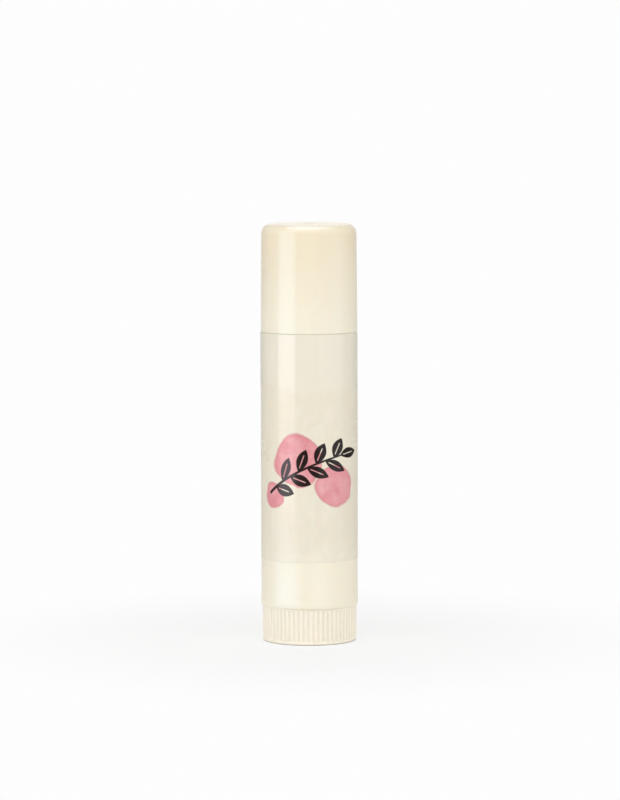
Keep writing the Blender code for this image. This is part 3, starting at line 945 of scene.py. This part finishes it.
def dial_plastic():
    """The barrel's cream plastic, rougher and with painted shade wherever it lies inside its full radius
    beyond the foot's recess: in the valleys of the grip, on the rounding under its foot and on its top face.
    """
    material, shader, finish = new_finish("cream_plastic_ribbed", DIAL_HEIGHT / 2)
    depth = DIAL_RADIUS * TO_MILLIMETRES - finish.radius()
    valley = finish.step(depth, VALLEY_START, RIB_DEPTH * TO_MILLIMETRES)
    recess = (DIAL_RADIUS - FOOT_RING_WIDTH) * TO_MILLIMETRES
    outside = finish.step(finish.radius(), recess, GRIP_INSIDE)
    # Painted shade: darker in the grip's valleys, on the foot's rounded lower edge and on the top face
    tone = finish.mix(VALLEY_SHADE_TINT * valley * outside, DIAL_CREAM, VALLEY_SHADE_CREAM)
    cloud = finish.mottle(DIAL_CLOUD_SIZE)
    tone = finish.mix(CLOUD_TINT * cloud, tone, PALE_CREAM)
    shine = DIAL_ROUGHNESS + DIAL_CLOUD_DULLING * cloud + VALLEY_DULLING * valley * outside
    relief = finish.bumps(DIAL_PEEL_RISE * finish.mottle(PEEL_SIZE, detail=1.0))
    finish.drive(shader, {"Base Color": tone, "Roughness": shine, "Normal": relief, "IOR": CREAM_IOR})
    return material


def natural_plastic():
    """Undyed milky plastic of the mechanism, smeared with a little balm."""
    material, shader, finish = new_finish("natural_plastic", SCREW_HIGH.z / 2)
    smear = finish.step(finish.mottle(SMEAR_SIZE, detail=3.0), *SMEAR_BAND)
    tone = finish.mix(SMEAR_TINT * smear, MILKY, SMEARED)
    cloud = finish.mottle(NATURAL_CLOUD_SIZE)
    shine = NATURAL_ROUGHNESS + NATURAL_CLOUD_DULLING * cloud - SMEAR_SHINE * smear
    relief = finish.bumps(NATURAL_PEEL_RISE * finish.mottle(NATURAL_PEEL_SIZE) + SMEAR_RISE * smear)
    finish.drive(shader, {"Base Color": tone, "Roughness": shine, "Normal": relief, "IOR": NATURAL_IOR})
    finish.drive(shader, {"Subsurface Weight": NATURAL_SCATTER, "Subsurface Scale": NATURAL_SCATTER_DEPTH})
    return material


def balm_wax():
    """Pale yellow wax, with the drag marks and soft patches of a stick in use."""
    material, shader, finish = new_finish("balm_wax", (BALM_LOW.z + BALM_HIGH.z) / 2)
    half = (BALM_HIGH.z - BALM_LOW.z) / 2 * TO_MILLIMETRES
    crown = finish.step(finish.z, half - BALM_CROWN * TO_MILLIMETRES, half)
    drags = finish.mottle(DRAG_SIZE, detail=3.0, roughness=0.6, stretch=DRAG_STRETCH)
    rings = finish.mottle(RING_SIZE, detail=3.0, roughness=0.6, stretch=RING_STRETCH)
    patches = finish.mottle(WAX_PATCH_SIZE, detail=3.0)
    grain = finish.mottle(WAX_GRAIN_SIZE)
    tone = finish.mix(finish.step(patches, *WAX_PATCH_BAND), WAX_DEEP, WAX_PALE)
    shine = WAX_ROUGHNESS + WAX_PATCH_DULLING * patches + RING_DULLING * rings * (1 - crown)
    marks = DRAG_RISE * drags * crown + RING_RISE * rings * (1 - crown) + WAX_GRAIN_RISE * grain
    relief = finish.bumps(marks)
    finish.drive(shader, {"Base Color": tone, "Roughness": shine, "Normal": relief, "IOR": WAX_IOR})
    finish.drive(shader, {"Subsurface Weight": WAX_SCATTER, "Subsurface Scale": WAX_SCATTER_DEPTH})
    return material


# Print on the label's front, across from its front line and up from its middle
PRINT_MIDDLE_Z = 0.0285
DABS = ((-2.1, 2.0, 4.3), (4.6, -2.3, 3.5), (-6.5, -4.1, 2.0))
DAB_EDGE = 0.22
DAB_WOBBLE_SIZE = 3.6
DAB_WOBBLE_REACH = 1.5
DAB_FRAY_SIZE = 0.8
DAB_FRAY_REACH = 0.25
RIM_BAND = (-0.9, -0.1)
RIM_TINT = 0.45
WASH_SIZE = 2.6
WASH_SHIFT = (4.0, 1.0, 2.0)
WASH_BAND = (0.3, 0.72)
PINK = srgb(230, 148, 155)
PALE_PINK = srgb(240, 176, 180)
RIM_PINK = srgb(226, 136, 144)
SPRIG_TILT = math.radians(24)
SPRIG_LENGTH = 16.4
SPRIG_BOW = 0.018
SPRIG_DROP = 0.9
STEM_WIDTH = 0.42
STEM_FOOT_SHARE = 1.2
STEM_TAPER_SHARE = 0.6
STEM_END_BAND = (SPRIG_LENGTH - 1.5, SPRIG_LENGTH - 1.4)
LEAF_PITCH = 3.2
LEAF_COUNT = 4
LEAF_LENGTH = 3.9
LEAF_WIDTH = 1.85
LEAF_ANGLE = math.radians(46)
FIRST_LEAF = 0.55 * LEAF_PITCH
TIP_LEAF_REACH = 0.55 * LEAF_LENGTH
VEIN_WIDTH = 0.15
VEIN_START_BAND = (LEAF_LENGTH * 0.14, LEAF_LENGTH * 0.2)
VEIN_END_BAND = (LEAF_LENGTH * 0.68, LEAF_LENGTH * 0.78)
INK = srgb(30, 12, 6)
INK_EDGE = 0.05


def dab(finish, across, up, place):
    """A round touch of watercolour: its mask, and the darker rim where the colour dried."""
    middle_across, middle_up, radius = place
    side = across - middle_across
    rise = up - middle_up
    wobble = finish.wander(DAB_WOBBLE_SIZE, DAB_WOBBLE_REACH) + finish.wander(DAB_FRAY_SIZE, DAB_FRAY_REACH)
    far = (side * side + rise * rise).root() - radius + wobble
    mask = 1 - finish.step(far, -DAB_EDGE, DAB_EDGE)
    return mask, mask * finish.step(far, *RIM_BAND)


def painted_dabs(finish, across, up):
    """The mask of all the touches, and their colour."""
    masks, rims = zip(*[dab(finish, across, up, place) for place in DABS])
    pink = masks[0].most(masks[1]).most(masks[2])
    rim = rims[0].most(rims[1]).most(rims[2])
    wash = finish.mottle(WASH_SIZE, detail=3.0, roughness=0.6, shift=WASH_SHIFT)
    tone = finish.mix(finish.step(wash, *WASH_BAND), PINK, PALE_PINK)
    return pink, finish.mix(RIM_TINT * rim, tone, RIM_PINK)


def sprig(finish, across, up):
    """A bowed stem with leaves in turn on its two sides, and one at its tip."""
    cos, sin = math.cos(SPRIG_TILT), math.sin(SPRIG_TILT)
    along = across * cos + up * sin + SPRIG_LENGTH / 2
    bow = along - SPRIG_LENGTH / 2
    off = up * cos - across * sin + SPRIG_BOW * bow * bow - SPRIG_DROP
    taper = STEM_WIDTH / 2 * (STEM_FOOT_SHARE - STEM_TAPER_SHARE * along / SPRIG_LENGTH)
    on_stem = finish.step(along, 0.0, INK_EDGE) * (1 - finish.step(along, *STEM_END_BAND))
    stem = (1 - finish.step(abs(off) - taper, -INK_EDGE, INK_EDGE)) * on_stem
    from_first = along - FIRST_LEAF - off.over(0.0) * (LEAF_PITCH / 2)
    out = abs(off)
    cell = from_first % LEAF_PITCH
    leaf_cos, leaf_sin = math.cos(LEAF_ANGLE), math.sin(LEAF_ANGLE)
    reach = cell * leaf_cos + out * leaf_sin
    spread = out * leaf_cos - cell * leaf_sin
    room = from_first.over(0.0) * (1 - from_first.over(LEAF_PITCH * LEAF_COUNT))
    leaf = leaf_mask(finish, reach, spread) * room
    tip = leaf_mask(finish, along - SPRIG_LENGTH + TIP_LEAF_REACH, off)
    return stem.most(leaf).most(tip)


def leaf_mask(finish, reach, spread):
    """An almond with a fine light vein along its middle."""
    middle = (reach - LEAF_LENGTH / 2) / (LEAF_LENGTH / 2)
    edge = LEAF_WIDTH / 2 * (1 - middle * middle)
    blade = 1 - finish.step(abs(spread) - edge, -INK_EDGE, INK_EDGE)
    vein = finish.step(abs(spread) - VEIN_WIDTH / 2, -INK_EDGE, INK_EDGE)
    vein_end = finish.step(reach, *VEIN_END_BAND)
    vein_start = 1 - finish.step(reach, *VEIN_START_BAND)
    return blade * vein.most(vein_end).most(vein_start)


# Film. Its cover is how much it hides of the barrel, and its coat is the gloss over it
FILM_IOR = 1.36
FILM_LOOSE = srgb(252, 245, 228)
FILM_STUCK = srgb(249, 240, 219)
FILM_BLOTCH = srgb(252, 245, 226)
FILM_STREAK = srgb(255, 251, 240)
FILM_HEM = srgb(254, 247, 228)
FILM_WETTED = srgb(255, 248, 229)
LOOSE_EDGE_SIZE = 3.2
LOOSE_EDGE_REACH = 3.0
LOOSE_EDGE_FADE = 0.6
BLOTCH_SIZE = 2.4
BLOTCH_BAND = (0.36, 0.66)
STREAK_SIZE = 1.1
STREAK_STRETCH = (1.0, 1.0, 0.4)
STREAK_BAND = (0.44, 0.72)
STREAK_TINT = 0.3
HEM_SIZE = 3.0
HEM_REACH = 3.0
HEM_BAND = (0.2, 2.4)
WETTED_BAND = (0.6, 4.2)
WETTED_SIDE_BAND = (-1.5, 2.5)
FILM_ROUGHNESS = 0.10
STUCK_DULLING = 0.10
BLOTCH_DULLING = 0.06
LOW_DULLING = 0.20
LOW_BAND = (10.0, 36.0)
FILM_COVER = 0.85
BLOTCH_CLEARNESS = 0.05
PINK_COVER = 0.94
COAT_ROUGHNESS = 0.12
LOOSE_COAT = 0.55
STUCK_COAT_LOSS = 0.35
INK_COAT = 0.10
STUCK_GRAIN_SIZE = 1.5
STUCK_GRAIN_RISE = 0.002
FILM_GRAIN_SIZE = 0.5
FILM_GRAIN_RISE = 0.0006
INK_RISE = 0.002


def film_haze(finish, across, stuck, blotch):
    """The bare film's colour, paler in streaks where it is stuck down and along its lower edge."""
    streak = finish.mottle(STREAK_SIZE, roughness=0.55, stretch=STREAK_STRETCH)
    streak = finish.step(streak, *STREAK_BAND)
    haze = finish.mix(stuck, FILM_LOOSE, FILM_STUCK)
    haze = finish.mix(stuck * blotch, haze, FILM_BLOTCH)
    haze = finish.mix(STREAK_TINT * stuck * streak, haze, FILM_STREAK)
    above_foot = finish.z + (PRINT_MIDDLE_Z - LABEL_LOW.z) * TO_MILLIMETRES
    hem = above_foot + finish.wander(HEM_SIZE, HEM_REACH)
    haze = finish.mix(1 - finish.step(hem, *HEM_BAND), haze, FILM_HEM)
    wetted = (1 - finish.step(hem, *WETTED_BAND)) * finish.step(across, *WETTED_SIDE_BAND)
    return finish.mix(wetted, haze, FILM_WETTED)


def label_film():
    """Clear film, loose near its top and stuck down below by an adhesive that has not wetted evenly."""
    material, shader, finish = new_finish("label_film", PRINT_MIDDLE_Z)
    across = finish.round_front(BARREL_RADIUS * TO_MILLIMETRES)
    below = (LABEL_HIGH.z - PRINT_MIDDLE_Z) * TO_MILLIMETRES - finish.z
    loose_edge = LOOSE_HEIGHT * TO_MILLIMETRES + finish.wander(LOOSE_EDGE_SIZE, LOOSE_EDGE_REACH, detail=2.0)
    stuck = finish.step(below - loose_edge, -LOOSE_EDGE_FADE, LOOSE_EDGE_FADE)
    blotch = finish.step(finish.mottle(BLOTCH_SIZE, detail=3.0, roughness=0.6), *BLOTCH_BAND)
    haze = film_haze(finish, across, stuck, blotch)
    pink, pink_tone = painted_dabs(finish, across, finish.z)
    ink = sprig(finish, across, finish.z)
    tone = finish.mix(ink, finish.mix(pink, haze, pink_tone), INK)
    shine = FILM_ROUGHNESS + STUCK_DULLING * stuck + BLOTCH_DULLING * stuck * blotch
    shine = shine + LOW_DULLING * finish.step(below, *LOW_BAND)
    cover = (FILM_COVER - BLOTCH_CLEARNESS * stuck * blotch).most(PINK_COVER * pink).most(ink)
    gloss = LOOSE_COAT - STUCK_COAT_LOSS * stuck + INK_COAT * ink
    grain = STUCK_GRAIN_RISE * stuck * finish.mottle(STUCK_GRAIN_SIZE)
    grain = grain + FILM_GRAIN_RISE * finish.mottle(FILM_GRAIN_SIZE, detail=1.0)
    relief = finish.bumps(grain + INK_RISE * ink)
    finish.drive(shader, {"Base Color": tone, "Roughness": shine, "Alpha": cover, "Coat Weight": gloss})
    finish.drive(shader, {"Normal": relief, "IOR": FILM_IOR, "Coat Roughness": COAT_ROUGHNESS})
    return material


def dress():
    cap_cream = cream_plastic("cream_plastic_cap", CAP_LOW.z, CAP_HIGH.z, *CAP_CREAM_WITH_SHADED_TOP)
    barrel_cream = cream_plastic("cream_plastic_barrel", FOOT_Z, SHOULDER_Z, *BARREL_CREAM)
    natural = natural_plastic()
    add_piece("cap_shell", cap_shape(), cap_cream, "cap", "cap")
    add_piece("barrel_tube", barrel_shape(), barrel_cream, "barrel", "barrel")
    add_piece("dial_ribbed", dial_shape(), dial_plastic(), "dial", "twist_dial")
    add_piece("screw_spindle", screw_shape(), natural, "dial", "lead_screw")
    add_piece("elevator_carrier", cup_shape(), natural, "elevator", "elevator_cup")
    add_piece("balm_core", balm_shape(), balm_wax(), "elevator", "balm_stick")
    add_piece("label_wrap", label_shape(), label_film(), "barrel", "wrap_label")


# Studio. The rings on the floor, where its painted contact shade and its kept shadow end, are in millimetres
WHITE = (1.0, 1.0, 1.0, 1.0)
AMBIENT = 0.45
SEEN_WHITE = 0.985
FLOOR_SIZE = 3.0
FLOOR_COLOUR = srgb(232, 232, 230)
FLOOR_ROUGHNESS = 0.6
FLOOR_LIFT = 0.77
SHADOW_BAND = (18.0, 70.0)
# A dark ring painted on the floor round the foot's edge, as the shade of its contact line
CONTACT_SHADE_COLOUR = srgb(110, 98, 82)
CONTACT_SHADE_BAND = (7.42, 7.82)
SCREEN_RADIUS = 0.055
SCREEN_HEIGHT = 0.16
SCREEN_OPENING = math.radians(18)
SCREEN_GREY = 0.2
SCREEN_BACK_GREY = 0.6
SCREEN_FADE = (0.028, 0.053)

# Soft lights: azimuth and elevation in degrees, distance, width, height and radiance
SOFT_LIGHTS = {
    "left_panel": (-57.0, 10.0, 0.26, 0.20, 0.13, 2.3),
    "right_panel": (55.0, 12.0, 0.50, 0.46, 0.34, 1.7),
    "top_panel": (-8.0, 63.0, 0.50, 0.50, 0.40, 1.6),
    "back_panel": (180.0, 25.0, 0.60, 0.60, 0.40, 1.2),
}

# Gleams above the stick, with the same columns
HIGH_GLEAMS = {
    "top_gleam": (-10.0, 78.0, 0.30, 0.30, 0.40, 6.6),
    "top_back_gleam": (180.0, 48.0, 0.30, 0.34, 0.20, 0.8),
    "top_left_gleam": (-112.0, 40.0, 0.30, 0.34, 0.26, 5.6),
    "top_right_gleam": (112.0, 40.0, 0.30, 0.34, 0.26, 4.0),
}

# Upright gleams: azimuth in degrees, distance, width, lowest and highest place, radiance and colour
CREAM_GLEAM = (0.42, 0.66, 1.0)
LABEL_GLEAM = (0.84, 0.81, 0.88)
FOOT_GLEAM = (0.28, 0.50, 1.0)
CAP_SPAN = (0.0486, 0.120)
LABEL_SPAN = (0.0096, 0.0486)
FOOT_SPAN = (0.0024, 0.0106)
UPRIGHT_GLEAMS = {
    "cap_gleam": (-51.0, 0.04, 0.029, CAP_SPAN, 4.3, CREAM_GLEAM),
    "label_gleam": (-51.0, 0.04, 0.029, LABEL_SPAN, 3.5, LABEL_GLEAM),
    "foot_gleam": (-50.0, 0.025, 0.024, FOOT_SPAN, 6.2, FOOT_GLEAM),
    "right_cap_gleam": (68.0, 0.04, 0.022, CAP_SPAN, 1.3, CREAM_GLEAM),
    "right_label_gleam": (50.0, 0.04, 0.045, LABEL_SPAN, 0.8, LABEL_GLEAM),
    "right_foot_gleam": (20.0, 0.025, 0.012, FOOT_SPAN, 2.4, CREAM_GLEAM),
}


def seen_share(graph):
    """1 for rays from the camera, from a reflection or through something clear, and 0 for light."""
    camera = graph.add("ShaderNodeLightPath", {}, {}, "Is Camera Ray")
    glossy = graph.add("ShaderNodeLightPath", {}, {}, "Is Glossy Ray")
    through = graph.add("ShaderNodeLightPath", {}, {}, "Is Transmission Ray")
    return camera.most(glossy).most(through)


def make_world():
    world = bpy.data.worlds.new("white_studio")
    bpy.context.scene.world = world
    world.use_nodes = True
    graph = Graph(world.node_tree)
    background = world.node_tree.nodes["Background"]
    strength = AMBIENT + (SEEN_WHITE - AMBIENT) * seen_share(graph)
    graph.drive(background, {"Color": WHITE, "Strength": strength})


def make_floor():
    """A plain pale floor, lifted towards white where the camera sees it, which keeps the stick's shadow, with
    a dark ring of painted contact shade round the foot.
    """
    shape = bmesh.new()
    bmesh.ops.create_grid(shape, x_segments=1, y_segments=1, size=FLOOR_SIZE)
    floor = loose_object(shape)
    floor.name = "floor"
    material, shader, finish = new_finish("pale_floor")
    # Painted shade: a dark ring where the foot meets the floor, which the lift also leaves out
    clear = finish.step(finish.radius(), *CONTACT_SHADE_BAND)
    tone = finish.mix(clear, CONTACT_SHADE_COLOUR, FLOOR_COLOUR)
    finish.drive(shader, {"Base Color": tone, "Roughness": FLOOR_ROUGHNESS, "Specular IOR Level": 0.0})
    glow = finish.add("ShaderNodeEmission", {}, {"Color": WHITE, "Strength": SEEN_WHITE})
    plain = Value(finish, shader.outputs[0])
    lift = clear * (FLOOR_LIFT + (1.0 - FLOOR_LIFT) * finish.step(finish.radius(), *SHADOW_BAND))
    both = finish.add("ShaderNodeMixShader", {}, (seen_share(finish) * lift, plain, glow))
    out = material.node_tree.nodes["Material Output"]
    finish.tree.links.new(both.socket, out.inputs["Surface"])
    floor.data.materials.append(material)


def add_panel(name, azimuth, elevation, distance, width, height, radiance):
    """A soft light panel that faces the stick. Azimuth 0 is the camera's side, and it grows to the right."""
    light = bpy.data.lights.new(name, "AREA")
    light.shape = "RECTANGLE"
    light.size = width
    light.size_y = height
    light.energy = radiance * math.pi * width * height
    obj = bpy.data.objects.new(name, light)
    turn = Matrix.Rotation(math.radians(azimuth), 3, "Z") @ Matrix.Rotation(-math.radians(elevation), 3, "X")
    middle = Vector((0.0, 0.0, model_high.z / 2))
    obj.location = middle + turn @ Vector((0.0, -distance, 0.0))
    obj.rotation_euler = (middle - obj.location).to_track_quat("-Z", "Y").to_euler()
    obj.visible_camera = False
    bpy.context.scene.collection.objects.link(obj)
    return obj


def add_soft_light(*settings):
    """A panel that lights the stick and doesn't show in its gloss."""
    add_panel(*settings).visible_glossy = False


def add_gleam(name, azimuth, distance, width, span, radiance, colour):
    """An upright panel between two heights that shows in glossy reflections alone."""
    low_z, high_z = span
    lamp = add_panel(name, azimuth, 0.0, distance, width, high_z - low_z, radiance)
    lamp.data.color = colour
    lamp.visible_diffuse = False
    lamp.location.z = (low_z + high_z) / 2


def add_high_gleam(*settings):
    """A panel above the stick that shows in the gloss of the cap's rounded edge alone."""
    lamp = add_panel(*settings)
    lamp.data.color = CREAM_GLEAM
    lamp.visible_diffuse = False


def make_lights():
    for name, settings in SOFT_LIGHTS.items():
        add_soft_light(name, *settings)
    for name, settings in UPRIGHT_GLEAMS.items():
        add_gleam(name, *settings)
    for name, settings in HIGH_GLEAMS.items():
        add_high_gleam(name, *settings)


def make_screen():
    """A grey screen round the stick's front and sides, open behind, that only its gloss shows."""
    shape = bmesh.new()
    start = shape.verts.new((0.0, SCREEN_RADIUS, 0.0))
    bmesh.ops.rotate(shape, verts=[start], matrix=Matrix.Rotation(SCREEN_OPENING, 3, "Z"))
    bmesh.ops.spin(
        shape,
        geom=[start],
        cent=(0, 0, 0),
        axis=(0, 0, 1),
        angle=2 * (math.pi - SCREEN_OPENING),
        steps=ROUND_STEPS,
    )
    rise = bmesh.ops.extrude_edge_only(shape, edges=shape.edges)["geom"]
    top = [v for v in rise if isinstance(v, bmesh.types.BMVert)]
    bmesh.ops.translate(shape, verts=top, vec=(0.0, 0.0, SCREEN_HEIGHT))
    screen = loose_object(shape)
    screen.name = "grey_screen"
    material, _, finish = new_finish("grey_screen")
    back = finish.step(finish.y, *[place * TO_MILLIMETRES for place in SCREEN_FADE])
    strength = SCREEN_GREY + (SCREEN_BACK_GREY - SCREEN_GREY) * back
    glow = finish.add("ShaderNodeEmission", {}, {"Color": WHITE, "Strength": strength})
    out = material.node_tree.nodes["Material Output"]
    finish.tree.links.new(glow.socket, out.inputs["Surface"])
    screen.data.materials.append(material)
    screen.visible_camera = False
    screen.visible_diffuse = False
    screen.visible_shadow = False
    screen.visible_transmission = False


def make_camera():
    lens = bpy.data.cameras.new("camera")
    lens.sensor_fit = "VERTICAL"
    lens.sensor_height = SENSOR_HEIGHT
    lens.lens = SENSOR_HEIGHT * FOCAL_PIXELS / FRAME_HEIGHT_PIXELS
    lens.clip_start = NEAR_CLIP
    camera = bpy.data.objects.new("camera", lens)
    camera.location = CAMERA_PLACE
    camera.rotation_euler = CAMERA_TURN
    bpy.context.scene.collection.objects.link(camera)
    bpy.context.scene.camera = camera


def main():
    dress()
    make_world()
    make_floor()
    make_screen()
    make_lights()
    make_camera()
    bpy.context.scene.view_settings.view_transform = "Standard"


main()
